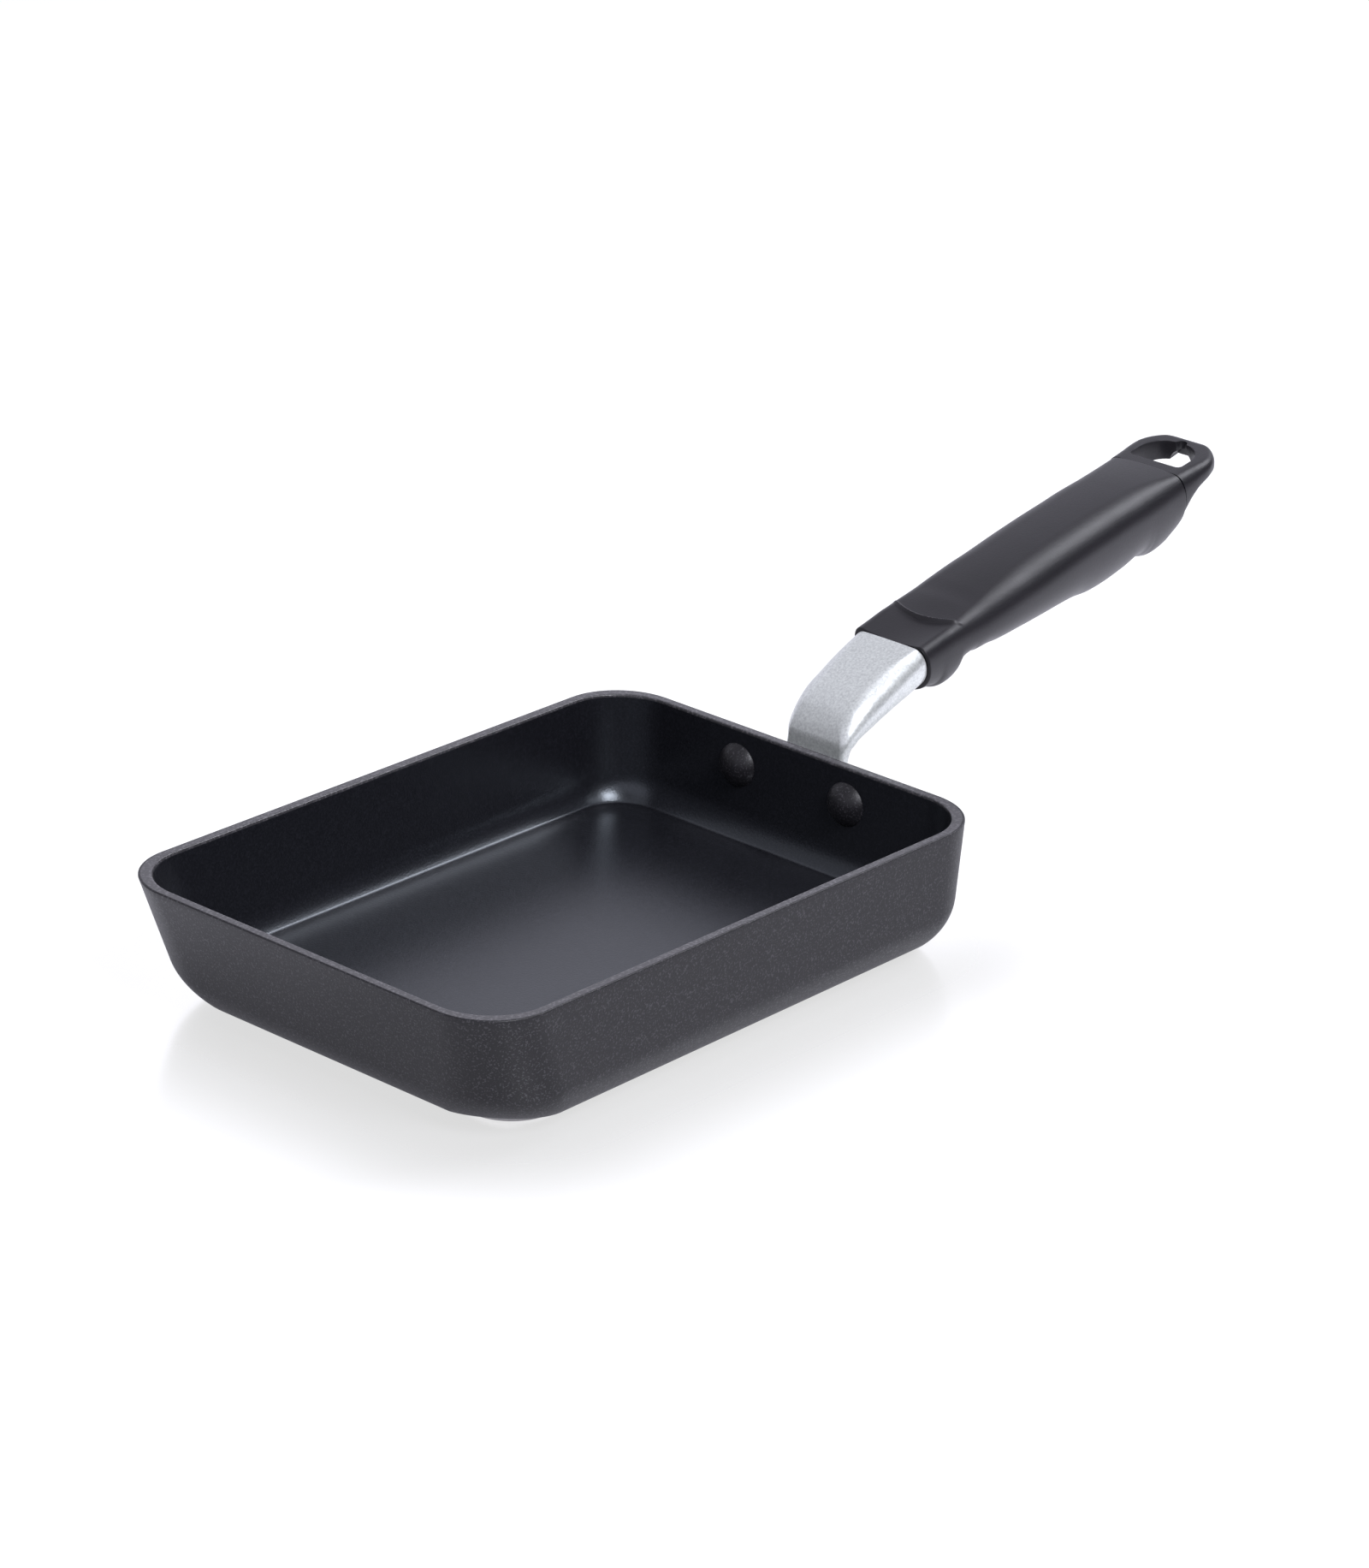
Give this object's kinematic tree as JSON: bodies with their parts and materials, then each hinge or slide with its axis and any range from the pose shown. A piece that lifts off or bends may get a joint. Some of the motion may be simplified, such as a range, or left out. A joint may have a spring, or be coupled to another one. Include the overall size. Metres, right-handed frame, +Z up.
{
  "type": "tamagoyaki pan",
  "caption": "Rectangular omelette pan with rounded corners, sloping front wall and flat rim, and a riveted metal bracket carrying a long dark grip that ends in a hanging loop.",
  "frame": {"origin": "on the hob, under the middle of the rim, on the base plate's underside", "axes": "+X from the pan towards the handle's end, +Z up out of the pan, Y across it"},
  "size_m": [0.3529, 0.1284, 0.082],
  "materials": {
    "pan_coating": "dark coating, matt and speckled outside, smooth inside",
    "base_steel": "brushed",
    "rivet_coating": "dark smooth coating",
    "bracket_metal": "satin",
    "grip_plastic": "satin",
    "screw_steel": "plated"
  },
  "bodies": {
    "root": {"pan_body": "pan_coating", "base_plate": "base_steel", "pan_rivets": "rivet_coating", "handle_bracket": "bracket_metal", "handle_grip": "grip_plastic", "hanging_loop": "grip_plastic", "handle_screw": "screw_steel"}
  },
  "joints": []
}
